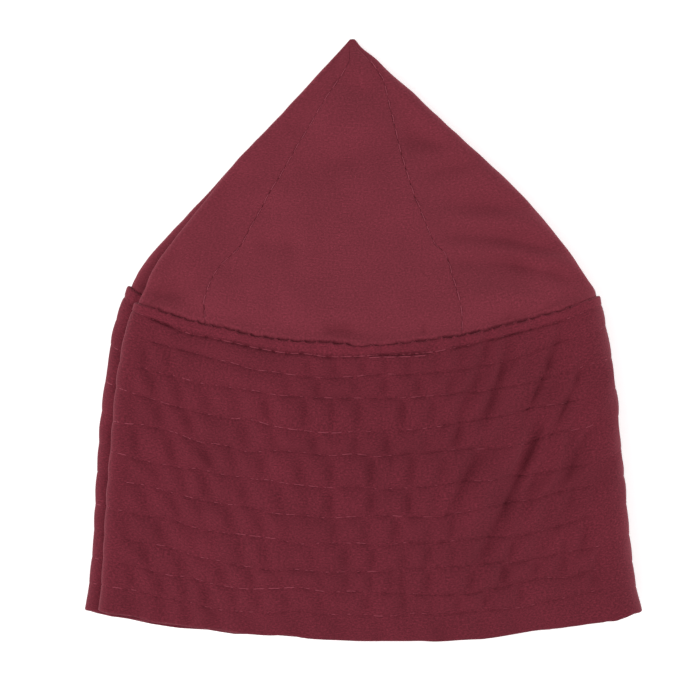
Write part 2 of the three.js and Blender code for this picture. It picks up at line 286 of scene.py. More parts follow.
def dent_at(x, y):
    """How deep the creases and dents are. Their depth varies a little along them."""
    depth = np.zeros_like(x)
    for cx, cy, runs, length, width, deep in zip(*DENTS.values()):
        angle = math.radians(runs)
        dx, dy = x - cx, y - cy
        along = (dx * math.cos(angle) + dy * math.sin(angle)) / length
        across = (dy * math.cos(angle) - dx * math.sin(angle)) / width
        uneven = 1 + lumps(along * length, cx + cy, 38, size=(4, 1), height=0.2)
        depth += deep * uneven * np.exp(-(along**4) - across**2)
    return depth


def frame_of(s, wall):
    """For sections s, the heights of the four thicknesses at their edges, and where the turns at
    the fold, the upper crease and the lower crease begin."""
    under = np.maximum(s["floor"], 0) + wall / 2
    third = under + s["low_crease"] + wall
    second = third + s["middle"] + wall
    top = second + s["top_crease"] + wall
    fold_at = s["fold_x"] - wall / 2 - (top - under) / 2
    top_at = s["top_x"] + wall / 2 + (top - second) / 2
    back_at = s["back_x"] + wall / 2 + (third - under) / 2
    return under, third, second, top, fold_at, top_at, back_at


def line_at(s, x, crease):
    """Y along a section's line from the top or the back crease to the fold."""
    crease_x, crease_y = s[crease + "_x"], s[crease + "_y"]
    t = (x - crease_x) / (s["fold_x"] - crease_x)
    return crease_y + (s["fold_y"] - crease_y) * t - s["sag"] * 4 * t * (1 - t)


def middle_of(s, wall, rounds):
    """The middle of the cloth on a grid: a row of it for each section, with rounds (stretch +
    share of the stretch) along it."""
    under, third, second, top, fold_at, top_at, back_at = frame_of(s, wall)
    stretch = np.floor(rounds).astype(int) % STRETCHES
    share = rounds - np.floor(rounds)
    lift = s["lower"] - s["low_crease"]
    top_lift = lift + s["upper"] - s["top_crease"]
    bulge = np.sin(math.pi * share)
    swing = np.cos(math.pi * share) / 2
    rise = smooth(from_crease(rounds), 0, RAMP)

    def turn(x, start, end, side):
        return x + side * np.abs(end - start) / 2 * bulge, (start + end) / 2 + (start - end) * swing

    def face(start, end, level, swell):
        return start + (end - start) * share, level + swell * rise

    places = [
        turn(top_at, second, top, -1),
        face(top_at, fold_at, top, top_lift),
        turn(fold_at, top, under, 1),
        face(fold_at, back_at, under, 0 * lift),
        turn(back_at, under, third, -1),
        face(back_at, fold_at, third, lift),
        turn(fold_at, third, second, 1),
        face(fold_at, top_at, second, lift),
    ]
    x = np.choose(stretch, [np.broadcast_to(p[0], rounds.shape) for p in places])
    z = np.choose(stretch, [np.broadcast_to(p[1], rounds.shape) for p in places])
    level = np.clip((z - (under + third) / 2) / ((second + top - under - third) / 2), 0, 1)
    level = level**2 * (3 - 2 * level)
    upper, lower = line_at(s, x, "top"), line_at(s, x, "back")
    y = lower + (upper - lower) * level
    # Creases and dents run on over the outer fold, and end halfway round it.
    dented = np.where(stretch == TOP_FACE, smooth(share, 0, DENT_CLEAR), 0)
    dented = np.where(stretch == OUTER_FOLD, smooth(-share, -0.5, 0), dented)
    z = z - dent_at(x, y) * dented
    return np.stack([x, y, z], axis=-1)


def normals_of(points, looped):
    """Outward unit normals of a grid of points."""
    if looped:
        along = np.roll(points, -1, axis=1) - np.roll(points, 1, axis=1)
    else:
        along = np.gradient(points, axis=1)
    return unit(np.cross(along, np.gradient(points, axis=0)))


def arc_lengths(points):
    """Distance along each row of a grid, from its first point."""
    steps = np.linalg.norm(np.diff(points, axis=1), axis=-1)
    return np.concatenate([np.zeros((len(points), 1)), np.cumsum(steps, axis=1)], axis=1)


def from_crease(rounds):
    """Distance from the nearer end of a stretch, as a share of it."""
    share = rounds - np.floor(rounds)
    return np.minimum(share, 1 - share)


def looseness(rounds, creases, upper, inner):
    """How freely the cloth may stand out in each stretch. Underneath it is pressed flat."""
    stretch = np.floor(rounds).astype(int) % STRETCHES
    return np.choose(stretch, [creases, upper, creases, 0, creases, inner, inner, inner])


# ---- how the cloth gathers ----

# The springs from each point of the cloth: steps up, steps along and stiffness.
SPRINGS = [(0, 1, 1.0), (1, 0, 1.0), (1, 1, 0.5), (1, -1, 0.5)]
BENDING = 0.012  # how hard the cloth is to bend, against those
CUSHION = 0.0014  # how hard the cloth underneath pushes back
SLIP = 0.0005  # how hard it resists sliding
ROW_HOLD = 0.2  # how hard a row of stitching holds a point
HOLE_HOLD = 0.5  # and at a needle hole
STITCH_DEPTH = 0.25  # how far down it pulls
PUFF = 0.004  # spare length every way, between the rows of stitching
PADDING = 0.0012  # push of the soft layer inside
RELIEF = 1.35  # the result is taken this much higher

RIPPLE_SPACING = 3.4  # of the faint ripples that the cloth starts with
RIPPLE_HEIGHT = 0.15
RIPPLE_PIVOT = 40  # the height about which they lean

ROUNDS = 250
MOMENTUM = 0.9  # the share of a round's step that the next one adds again
STEADY_START, STEADY_END = 5, 20  # the first and last rounds, which do without


def gathers_at(x, y):
    """The spare length of the cloth as a share, the lean of its ripples in degrees, and how firmly
    the rows hold it."""
    background = 1e-3  # the weight of upright, firm cloth, which counts far from a patch
    spare, leaning = 0 * x + SPARE_ALL_OVER, 0 * x
    firmness, weight = 0 * x + background, 0 * x + background
    for cx, cy, reach_x, reach_y, share, lean, firm in zip(*GATHERS.values()):
        patch = np.exp(-(((x - cx) / reach_x) ** 2) - ((y - cy) / reach_y) ** 2)
        spare += patch * share
        weight += patch
        leaning += patch * lean
        firmness += patch * firm
    lump, shift = 6, 40
    uneven = 1 + lumps(x / lump + shift, y / lump + shift, 7, height=0.7)
    return spare * uneven, leaning / weight, firmness / weight


def relaxed(height, width, spare, lean, hold, padding):
    """How far each point of the sewn cloth stands out once it has taken up its spare length.

    The cloth is a grid of springs a millimetre or so apart, cut longer than they are sewn, which
    resists bending and lies on soft cloth. hold is how firmly the stitches pull each point down.
    Each round turns every spring to its cut length, and then finds the places that suit them all
    best. A Fourier transform does that at once, because the springs are the same all over: the
    cloth goes round, and a slack strip that pulls on nothing joins its upper edge to its hem."""
    rows, columns = spare.shape
    slack = 11  # rows in the slack strip, a millimetre apart
    across = width / columns
    up = np.append(np.diff(height), np.full(slack + 1, 1.0))[:, None]

    def padded(values):
        return np.concatenate([values, np.zeros((slack, columns))])

    along_x, along_y = np.cos(np.radians(lean)), -np.sin(np.radians(lean))
    hold, padding = padded(hold), padded(padding)
    puff = PUFF * padding
    stretch_x, stretch_y = padded(spare * along_x**2) + puff, padded(spare * along_y**2) + puff
    shear = padded(spare * along_x * along_y)
    push = PADDING * padding - hold * STITCH_DEPTH
    springs = []
    turn_up = np.exp(2j * math.pi * np.fft.fftfreq(rows + slack))[:, None]
    turn_along = np.exp(2j * math.pi * np.fft.rfftfreq(columns))[None, :]
    pull = 0
    for step_up, step_along, stiffness in SPRINGS:
        sewn_x = np.full_like(hold, step_along * across)
        sewn_y = np.broadcast_to(up * step_up, hold.shape)
        cut_x = (1 + stretch_x) * sewn_x + shear * sewn_y
        cut_y = (1 + stretch_y) * sewn_y + shear * sewn_x
        taut = np.ones(hold.shape, bool)
        taut[rows - step_up :] = False
        shift = (-step_up, -step_along)
        springs.append((shift, stiffness, sewn_x, sewn_y, np.hypot(cut_x, cut_y), taut))
        pull = pull + stiffness * np.abs(turn_up**step_up * turn_along**step_along - 1) ** 2
    bending = (np.abs(turn_along - 1) ** 2 + np.abs(turn_up - 1) ** 2) ** 2
    firmest = hold.max()
    in_plane = pull + firmest + SLIP
    outward = pull + firmest + CUSHION + BENDING * bending

    # Half of the ripples run on through the rows of stitching, and half are new in each channel.
    heights = np.append(height, height[-1] + np.arange(slack))
    x, y = np.meshgrid(np.arange(columns) * across, heights)
    upright = x + np.tan(np.radians(padded(lean))) * (RIPPLE_PIVOT - y)
    channel = np.searchsorted(STITCH_ROWS * BAND_HEIGHT, y)
    ripples = upright / RIPPLE_SPACING
    moved = np.zeros((3, *hold.shape))
    moved[2] = lumps(ripples + 50, y, 5, size=(1, 14), height=RIPPLE_HEIGHT)
    moved[2] += lumps(ripples + 31 * channel, y, 6, size=(1, 9), height=RIPPLE_HEIGHT)
    last = moved
    for turn in range(ROUNDS):
        total = (firmest - hold) * moved
        total[2] += push
        for shift, stiffness, sewn_x, sewn_y, cut, taut in springs:
            now = np.roll(moved, shift, (1, 2)) - moved
            now_x, now_y = now[0] + sewn_x, now[1] + sewn_y
            scale = np.where(taut, cut / np.sqrt(now_x**2 + now_y**2 + now[2] ** 2), 1)
            wanted = np.stack([now_x * scale - sewn_x, now_y * scale - sewn_y, now[2] * scale])
            wanted *= stiffness
            total += np.roll(wanted, (-shift[0], -shift[1]), (1, 2)) - wanted
        waves = np.fft.rfft2(total) / np.stack([in_plane, in_plane, outward])
        best = np.fft.irfft2(waves, s=hold.shape)
        momentum = MOMENTUM if STEADY_START < turn < ROUNDS - STEADY_END else 0
        moved, last = best + momentum * (best - last), best
    return moved[2, :rows]


def between(grid, rows, columns):
    """A grid's values between its points, by smooth curves. Columns go round, and rows end."""

    def mix(values, place, last):
        start = np.floor(place).astype(int)
        t = (place - start)[:, None]
        weights = [
            (-t + 2 * t**2 - t**3) / 2,
            (2 - 5 * t**2 + 3 * t**3) / 2,
            (t + 4 * t**2 - 3 * t**3) / 2,
            (-(t**2) + t**3) / 2,
        ]
        picks = [start + k for k in (-1, 0, 1, 2)]
        if last:
            picks = [np.clip(pick, 0, last) for pick in picks]
        return sum(w * values[pick % len(values)] for w, pick in zip(weights, picks))

    return mix(mix(grid, rows, len(grid) - 1).T, columns, 0).T


# ---- meshes ----


def to_frame(points):
    """From the tables' millimetres to the frame's metres."""
    moved = np.array(points, float).reshape(-1, 3)
    moved[:, 1] -= LENGTH / 2
    return moved * MM + MIDDLE


def new_piece(name, points, faces, uvs, material, slot, replaced=()):
    """A piece of the cap from points in millimetres. uvs holds a pair for each face corner, and
    replaced names the solids that the piece stands for."""
    mesh = bpy.data.meshes.new(name)
    mesh.from_pydata(to_frame(points), [], faces)
    if uvs is not None:
        layer = mesh.uv_layers.new(name="cloth")
        layer.data.foreach_set("uv", np.asarray(uvs, np.float32).ravel())
    mesh.polygons.foreach_set("use_smooth", np.ones(len(mesh.polygons), bool))
    mesh.update()
    piece = bpy.data.objects.new(name, mesh)
    bpy.context.scene.collection.objects.link(piece)
    piece.data.materials.append(material)
    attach(piece, "root")
    if replaced:
        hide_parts(*replaced)
    return piece


def shell(outer, inner, u, v, looped):
    """Points, faces and UVs of a closed wall between two grids. The inner grid has every second
    row and column of the outer one. u and v are the cloth's own coordinates at the outer points;
    in a looped wall they have one more column, for the way round."""
    rows, columns = outer.shape[:2]
    points = np.concatenate([outer.reshape(-1, 3), inner.reshape(-1, 3)])
    out = np.arange(rows * columns).reshape(rows, columns)
    into = rows * columns + np.arange(inner.shape[0] * inner.shape[1]).reshape(inner.shape[:2])
    if looped:
        out = np.concatenate([out, out[:, :1]], axis=1)
        into = np.concatenate([into, into[:, :1]], axis=1)
    place = np.stack([u, v], axis=-1) / UV_UNIT
    faces, uvs = [], []

    def add(corners):
        """Faces from their corners, each an array of points and an array of their UVs."""
        faces.extend(np.stack([c[0].ravel() for c in corners], axis=-1).tolist())
        uvs.append(np.stack([c[1].reshape(-1, 2) for c in corners], axis=1).reshape(-1, 2))

    def sheet(index, coords, outward):
        whole = [
            (index[:-1, :-1], coords[:-1, :-1]),
            (index[:-1, 1:], coords[:-1, 1:]),
            (index[1:, 1:], coords[1:, 1:]),
            (index[1:, :-1], coords[1:, :-1]),
        ]
        add(whole if outward else whole[::-1])

    def rim(line, line_uv, inner_line):
        """Closes the wall along an edge, whose outer line runs with the wall on its left."""
        first, half, second = line[:-2:2], line[1:-1:2], line[2::2]
        uv_first, uv_half, uv_second = line_uv[:-2:2], line_uv[1:-1:2], line_uv[2::2]
        here, ahead = inner_line[:-1], inner_line[1:]
        add([(half, uv_half), (first, uv_first), (here, uv_first)])
        add([(second, uv_second), (half, uv_half), (here, uv_first), (ahead, uv_second)])

    sheet(out, place, True)
    sheet(into, place[::2, ::2], False)
    rim(out[0], place[0], into[0])
    rim(out[-1][::-1], place[-1][::-1], into[-1][::-1])
    if not looped:
        rim(out[::-1, 0], place[::-1, 0], into[::-1, 0])
        rim(out[:, -1], place[:, -1], into[:, -1])
    return points, faces, np.concatenate(uvs)


# ---- materials ----


def linear(hex_colour):
    """sRGB hex to the linear colour that a shader takes."""
    channels = [int(hex_colour[i : i + 2], 16) / 255 for i in (1, 3, 5)]
    return (*[c / 12.92 if c <= 0.04045 else ((c + 0.055) / 1.055) ** 2.4 for c in channels], 1.0)


def add_node(material, kind, settings=(), output=0, **inputs):
    """Adds a node and returns one of its outputs. settings are its own attributes. An input is a
    value or another node's output, named by its socket, or by _ and its number."""
    node = material.node_tree.nodes.new(kind)
    for name, value in dict(settings).items():
        setattr(node, name, value)
    for name, value in inputs.items():
        socket = node.inputs[int(name[1:]) if name[0] == "_" else name.replace("_", " ")]
        if isinstance(value, bpy.types.NodeSocket):
            material.node_tree.links.new(value, socket)
        else:
            socket.default_value = value
    return node.outputs[output]


def new_material(name, **values):
    """A material and its shader, with these values on the shader's own sockets."""
    material = bpy.data.materials.new(name)
    material.use_nodes = True
    shader = material.node_tree.nodes["Principled BSDF"]
    for socket, value in values.items():
        shader.inputs[socket.replace("_", " ")].default_value = value
    return material, shader


def woven_cotton(name, dark, light, weft_length, highlight_above=None):
    """Matt cotton, plain woven and piece dyed. The threads catch a fine grain of light, thicker
    stretches of weft show as short streaks, the dye is a little uneven over a finger's width, and
    loose fibres give a soft sheen at a low angle. The threads are a quarter of a millimetre apart
    and too fine to show, so they are drawn a third of a millimetre apart. A turned edge is painted
    a little paler, a painted highlight where its roll catches the light: highlight_above is how far
    up the cloth it starts, in millimetres."""
    thread_spacing = 0.36
    dye_patch, dye_weight = 14.0, 0.25
    highlight_over, paler = 0.8, 0.08
    darkest, lightest, contrast = 0.75, 1.5, 1.6
    thread_depth = 0.1
    sheen = {"Sheen_Weight": 0.28, "Sheen_Roughness": 0.4, "Sheen_Tint": linear("#D07885")}
    material, shader = new_material(name, Roughness=0.9, Specular_IOR_Level=0.2, **sheen)

    def node(kind, settings=(), **inputs):
        return add_node(material, "ShaderNode" + kind, settings, **inputs)

    cloth = node("UVMap", {"uv_map": "cloth"}, output="UV")
    per_thread = UV_UNIT / thread_spacing
    grain = node("TexNoise", Vector=cloth, Scale=per_thread, Detail=3.0, Roughness=0.7)
    streaks = (UV_UNIT / weft_length, per_thread, 1.0)
    along_weft = node("Mapping", Vector=cloth, Scale=streaks)
    weft = node("TexNoise", Vector=along_weft, Scale=1.0, Detail=2.0)
    dye = node("TexNoise", Vector=cloth, Scale=UV_UNIT / dye_patch, Detail=2.0)
    threads = node("Math", {"operation": "ADD"}, _0=grain, _1=weft)
    tone = node("Math", {"operation": "MULTIPLY_ADD"}, _0=dye, _1=dye_weight, _2=threads)
    # A painted highlight: the strip above the topstitch, where the edge rolls over, is painted paler
    # where it catches the light.
    if highlight_above:
        height = node("SeparateXYZ", output="Y", Vector=cloth)
        start, end = highlight_above / UV_UNIT, (highlight_above + highlight_over) / UV_UNIT
        painted_highlight = node("MapRange", Value=height, From_Min=start, From_Max=end, To_Max=paler)
        tone = node("Math", {"operation": "ADD"}, _0=tone, _1=painted_highlight)
    even = node("MapRange", Value=tone, From_Min=darkest, From_Max=lightest)
    share = node("Math", {"operation": "POWER"}, _0=even, _1=contrast)
    shades = {"_6": linear(dark), "_7": linear(light)}
    colour = node("Mix", {"data_type": "RGBA"}, output=2, _0=share, **shades)
    bump = node("Bump", Height=threads, Strength=0.3, Distance=thread_depth * MM)
    material.node_tree.links.new(colour, shader.inputs["Base Color"])
    material.node_tree.links.new(bump, shader.inputs["Normal"])
    return material


def sewing_thread():
    """Spun polyester thread dyed to the cloth. Its colours are painted a shade lighter than the
    cloth's: a painted sheen, for its smoother surface. Its twist makes it uneven."""
    twist = 0.8
    material, shader = new_material("spun_polyester_thread", Roughness=0.7, Specular_IOR_Level=0.25)
    place = add_node(material, "ShaderNodeTexCoord", output="Object")
    scale = 1 / (twist * MM)
    uneven = add_node(material, "ShaderNodeTexNoise", Vector=place, Scale=scale, Detail=1.0)
    # Painted sheen: both shades are lighter than the cloth's.
    shades = {"_6": linear("#742936"), "_7": linear("#984554")}
    mixed = {"data_type": "RGBA"}
    colour = add_node(material, "ShaderNodeMix", mixed, output=2, _0=uneven, **shades)
    material.node_tree.links.new(colour, shader.inputs["Base Color"])
    return material


# ---- stitches ----


def one_stitch(length, thickness):
    """One stitch along X with its middle at the origin: a short run of thread whose ends dive."""
    dives_from = 0.25  # of its length, from the middle
    bpy.ops.mesh.primitive_cylinder_add(
        vertices=6, radius=thickness / 2, depth=length, rotation=(0, math.pi / 2, 0)
    )
    thread = bpy.context.object
    bpy.ops.object.transform_apply(location=True, rotation=True, scale=True)
    bpy.ops.object.mode_set(mode="EDIT")
    for cut in (-0.4, -dives_from, 0.0, dives_from, 0.4):
        bpy.ops.mesh.select_all(action="SELECT")
        bpy.ops.mesh.bisect(plane_co=(cut * length, 0, 0), plane_no=(1, 0, 0))
    bpy.ops.object.mode_set(mode="OBJECT")
    points = np.array([vertex.co for vertex in thread.data.vertices])
    faces = [list(face.vertices) for face in thread.data.polygons]
    # The sides come first, and then the two ends.
    faces.sort(key=lambda face: len(face) > 4)
    bpy.data.objects.remove(thread)
    dive = np.clip((np.abs(points[:, 0]) / length - dives_from) / (0.5 - dives_from), 0, 1)
    points[:, 2] -= dive**2 * thickness
    return points, faces


def sew(name, lines, material, length=STITCH_LENGTH, thickness=THREAD):
    """Stitches along lines on the cloth, each bent to it. A line is its points, its normals, how
    deep the thread is sunk at each point, and the places of its needle holes, in millimetres."""
    template, template_faces = one_stitch(length, thickness)
    points, faces, count = [], [], 0
    for line, normal, sunk, holes in lines:
        run = arc_lengths(line[None])[0]
        place = ((holes[:-1] + holes[1:]) / 2)[:, None] + template[None, :, 0]

        def sample(values):
            return np.stack([np.interp(place, run, values[:, k]) for k in range(3)], axis=-1)

        centre, up = sample(line), unit(sample(normal))
        side = unit(np.cross(up, sample(unit(np.gradient(line, axis=0)))))
        lift = template[None, :, 2] - np.interp(place, run, sunk)
        stitch = centre + side * template[None, :, 1:2] + up * lift[..., None]
        stitch[..., 2] = np.maximum(stitch[..., 2], 0)
        points.append(stitch.reshape(-1, 3))
        for _ in place:
            faces += [[i + count for i in face] for face in template_faces]
            count += len(template)
    return new_piece(name, np.concatenate(points), faces, None, material, "thread")


# ---- the band ----


def band_shares(spacing, rim=(), beside=()):
    """Shares of the band's height for the rows of a grid, about this far apart, with one on each
    row of stitching. rim adds rows this far from the hem and the upper edge, and beside this far
    from each row of stitching."""
    edges = np.concatenate([[0.0], STITCH_ROWS, [1.0]])
    shares = [np.array(rim) / BAND_HEIGHT, 1 - np.array(rim) / BAND_HEIGHT, [1.0]]
    for gap in beside:
        shares += [STITCH_ROWS - gap / BAND_HEIGHT, STITCH_ROWS + gap / BAND_HEIGHT]
    for low, high in zip(edges[:-1], edges[1:]):
        steps = max(3, round((high - low) * BAND_HEIGHT / spacing))
        shares.append(low + (high - low) * np.arange(steps) / steps)
    return np.unique(np.concatenate(shares))


def rounds_of(top_steps, hidden_steps, turn_steps):
    """Places round a whole section, fine on the uppermost face."""
    steps = [turn_steps, hidden_steps] * (STRETCHES // 2)
    steps[TOP_FACE] = top_steps
    return np.concatenate([stretch + np.arange(n) / n for stretch, n in enumerate(steps)])


def edge_thickness(depth):
    """The wall's thickness at this depth from a cut or turned edge, as a share: it rounds off."""
    return np.sqrt(1 - (1 - np.clip(depth / EDGE_RADIUS, 0.1, 1)) ** 2)


def row_holes(number, width):
    """Places of the needle holes of a row of stitching, evenly spaced round the band."""
    count = round(width / STITCH_PITCH)
    step = 0.37  # of a stitch, from one row to the next
    start = (number * step) % 1.0
    return (np.arange(count + 1) + start) * width / count


def band_middle(at, rounds):
    """The middle of the band's cloth, at shares of its height."""
    return middle_of(sections_at(BAND, at), BAND_WALL, rounds)


def from_hole(u, number, width):
    """Distance along a row of stitching from its nearest needle hole."""
    pitch = width / round(width / STITCH_PITCH)
    away = (u - row_holes(number, width)[0]) % pitch
    return np.minimum(away, pitch - away)


def nearest(shares, row):
    """The number of the grid's row that lies on a row of stitching."""
    return int(np.argmin(np.abs(shares - row)))


def band_puckers(rounds_across, middle_run, width):
    """How far the band's cloth stands out, on a coarse grid round it."""
    shares = band_shares(spacing=1.0)
    columns = int(width)
    spots = np.arange(columns) * width / columns
    rounds = np.interp(spots, middle_run, rounds_across)
    rounds = np.broadcast_to(rounds, (len(shares), columns))
    middle = band_middle(shares[:, None], rounds)
    spare, lean, firmness = gathers_at(middle[..., 0], middle[..., 1])
    hold = np.zeros_like(spare)
    for number, row in enumerate(STITCH_ROWS):
        r = nearest(shares, row)
        hold[r] = ROW_HOLD * firmness[r]
        holes = np.round(row_holes(number, width) / width * columns).astype(int) % columns
        hold[r, holes] = HOLE_HOLD * firmness[r, holes]
    # The cloth is padded from the lowest row of stitching to the topstitch.
    before, after = 0.01, 0.02
    quilted = smooth(shares, STITCH_ROWS[0] - before, STITCH_ROWS[0] + after)
    quilted = quilted * smooth(-shares, -STITCH_ROWS[-1] - before, -STITCH_ROWS[-1] + after)
    padding = quilted[:, None] * (0.5 + 0.5 * firmness)
    return shares, relaxed(shares * BAND_HEIGHT, width, spare, lean, hold, padding)


def band_strays(u, v, hem_x, edge_x, width, on_top):
    """How far up the band each point lies from its even place. No row is sewn quite straight, the
    hem is a little wavy, and the cloth's upper edge swells out between its stitches."""
    from_edge = BAND_HEIGHT - v
    wander = lumps(u, v, 31, size=(19, 7), height=1.0) + lumps(u, v, 33, size=(7, 7), height=0.5)
    wander *= smooth(v, 0, 7) * smooth(from_edge, 0.5, 5)
    hem = np.interp(hem_x, HEM["x"], HEM["rise"])
    hem = (hem + lumps(u, 0, 32, size=(6, 1), height=0.3)) * (1 - smooth(v, 0, 9))
    tack = 0.5 * near(from_hole(u, TOPSTITCH, width), 0.35) * (1 - smooth(from_edge, 0, 0.8))
    edge = (edge_wave(edge_x) * (1 - smooth(from_edge, 0, 2.5)) + tack) * on_top
    return wander + hem + edge


def sewn_in(u, v, x, number, width):
    """How deep a row of stitching presses the cloth in, deepest at its needle holes."""
    sewn = EDGE_SEWN if number == TOPSTITCH else ROW_SEWN
    to_right = smooth(x, -5, 30)
    shallower = 0.35  # by this share at the right, where the cloth is pulled flat
    groove = sewn["groove"] + lumps(u, 0, 39, size=(3.7, 1), height=sewn["uneven"])
    hole = sewn["hole"] * (1 - shallower * to_right) * near(from_hole(u, number, width), HOLE_REACH)
    beside_row = near(v - STITCH_ROWS[number] * BAND_HEIGHT, sewn["reach"])
    return beside_row * (groove + sewn["to_right"] * to_right + hole)


def sunk_thread(x, number):
    """How deep a row's thread is sunk at places along it: less in the middle of the upper face,
    and least in the topstitch there."""
    sunk = 0.08 + 0.07 * smooth(x, -10, 35) + 0.05 * smooth(-x, 20, 50)
    sunk += lumps(np.arange(len(x)), 3.0 * number, 37, size=(9, 1), height=0.09)
    if number == TOPSTITCH:
        sunk -= 0.17 * np.exp(-(((x + 5) / 32) ** 4))
    return sunk


def quilted_band(material, stitch_material):
    """The band: a closed ring of padded cloth, with its rows of stitching."""
    shares = band_shares(spacing=0.6, rim=(0.12, 0.36), beside=(0.2,))
    shares = np.insert(shares, 1, shares[1] / 2)  # to make them odd in number, for the inner grid
    rounds = rounds_of(top_steps=310, hidden_steps=38, turn_steps=8)
    grid = np.broadcast_to(rounds, (len(shares), len(rounds)))
    on_top = np.floor(grid) == TOP_FACE

    closed = np.append(rounds, STRETCHES)
    half_way = band_middle(np.array([[0.5]]), closed[None])
    run = arc_lengths(half_way)[0]
    width = run[-1]
    u = np.broadcast_to(run, (len(shares), len(run)))
    v = np.broadcast_to(shares[:, None] * BAND_HEIGHT, u.shape)
    u_open, v_open = u[:, :-1], v[:, :-1]
    upper_edge = band_middle(np.array([[1.0]]), rounds[None])
    hem_x, edge_x = half_way[0, :-1, 0], upper_edge[0, :, 0]
    strays = band_strays(u_open, v_open, hem_x, edge_x, width, on_top)
    middle = band_middle(shares[:, None] + strays / BAND_HEIGHT, grid)
    normal = normals_of(middle, looped=True)
    x, y = middle[..., 0], middle[..., 1]

    # The puckers are pulled flatter in the long creases, and the upper edge rolls outwards.
    flatter = 1.2  # for each millimetre of a crease's depth
    coarse, stand = band_puckers(closed, run, width)
    rows = np.interp(shares, coarse, np.arange(len(coarse)))
    stand = between(stand, rows, run[:-1] * stand.shape[1] / width)
    stretched = np.abs(dent_at(x, y)) * on_top
    stand = RELIEF * stand / (1 + flatter * stretched)
    for number in range(len(STITCH_ROWS)):
        stand = stand - sewn_in(u_open, v_open, x, number, width)
    roll = 0.15 + lumps(u_open, 0, 36, size=(2.7, 1), height=0.36)
    stand = stand + roll * near(BAND_HEIGHT - v_open - 1.0, 0.9)

    # The inside follows the outside by half, and hardly at all where that is drawn in.
    upper = 0.25 + 0.75 * smooth(from_crease(grid), 0, 0.035)
    loose = looseness(grid, creases=0.25, upper=upper, inner=0.35)
    inner_stand = 0.5 * np.maximum(stand, -0.3) * loose
    half = BAND_WALL / 2 * edge_thickness(np.minimum(shares, 1 - shares) * BAND_HEIGHT)
    outer = middle + normal * (half[:, None] + stand * loose)[..., None]
    inward = (half * (1 - edge_thinning(shares) / (BAND_WALL / 2)))[:, None]
    inner = middle - normal * (inward - inner_stand)[..., None]
    outer[..., 2] = np.maximum(outer[..., 2], LOWEST)
    cloth = shell(outer, inner[::2, ::2], u, v, looped=True)
    piece = new_piece("quilted_band", *cloth, material, "quilted_cloth", ["band"])

    lines = []
    for number, row in enumerate(STITCH_ROWS):
        r = nearest(shares, row)
        line = np.concatenate([outer[r], outer[r]])
        length = arc_lengths(line[None])[0][len(outer[r])]
        holes = row_holes(number, width) * length / width
        both = np.concatenate([normal[r], normal[r]])
        lines.append((line, both, sunk_thread(line[:, 0], number), holes))
    # The thread ends where it began, with a few stitches sewn twice.
    sewn_twice = (1.0, 18.0)  # in x
    r = nearest(shares, STITCH_ROWS[-1]) - 2
    upper = (rounds >= TOP_FACE) & (rounds < OUTER_FOLD)
    length = arc_lengths(outer[r][None])[0]
    start, end = np.interp(sewn_twice, outer[r][upper, 0], length[upper])
    again = np.arange(start, end, STITCH_PITCH)
    lines.append((outer[r], normal[r], np.full(len(length), 0.05), again))
    stitching = sew("band_stitching", lines, stitch_material)


# ---- the crown ----


def seam_share(sections, wall, side):
    """Where a seam of the uppermost face crosses each section, as a share of that face."""
    *_, fold_at, top_at, _ = frame_of(sections, wall)
    x = (top_at + fold_at) / 2
    for _ in range(30):
        x = (x + np.interp(line_at(sections, x, "top"), SEAMS["y"], SEAMS[side])) / 2
    # At the tip, where the face is narrow, both seams stay on their own side of it.
    low, high = (0.02, 0.42) if side == "left" else (0.58, 0.98)
    return np.clip((x - top_at) / (fold_at - top_at), low, high)


def gore_rounds(start, end, spacing, sections, wall):
    """Places across a gore from a seam to the next, close together beside the seams."""
    fine = start + (end - start) * np.linspace(0, 1, 161)
    run = arc_lengths(middle_of(sections, wall, fine))
    inside = int(run[:, -1].max() / spacing) // 2 * 2 + 1
    from_seam = np.array([0.0, 0.15, 0.35, 0.7])  # in millimetres
    at_most = np.array([0.0, 0.05, 0.1, 0.18])  # as shares of the gore's width
    rounds = []
    for places, lengths in zip(fine, run):
        width = lengths[-1]
        beside = np.minimum(from_seam, width * at_most)
        between_them = np.linspace(beside[-1], width - beside[-1], inside + 2)[1:-1]
        spots = np.concatenate([beside, between_them, (width - beside)[::-1]])
        rounds.append(np.interp(spots, lengths, places))
    return np.array(rounds)


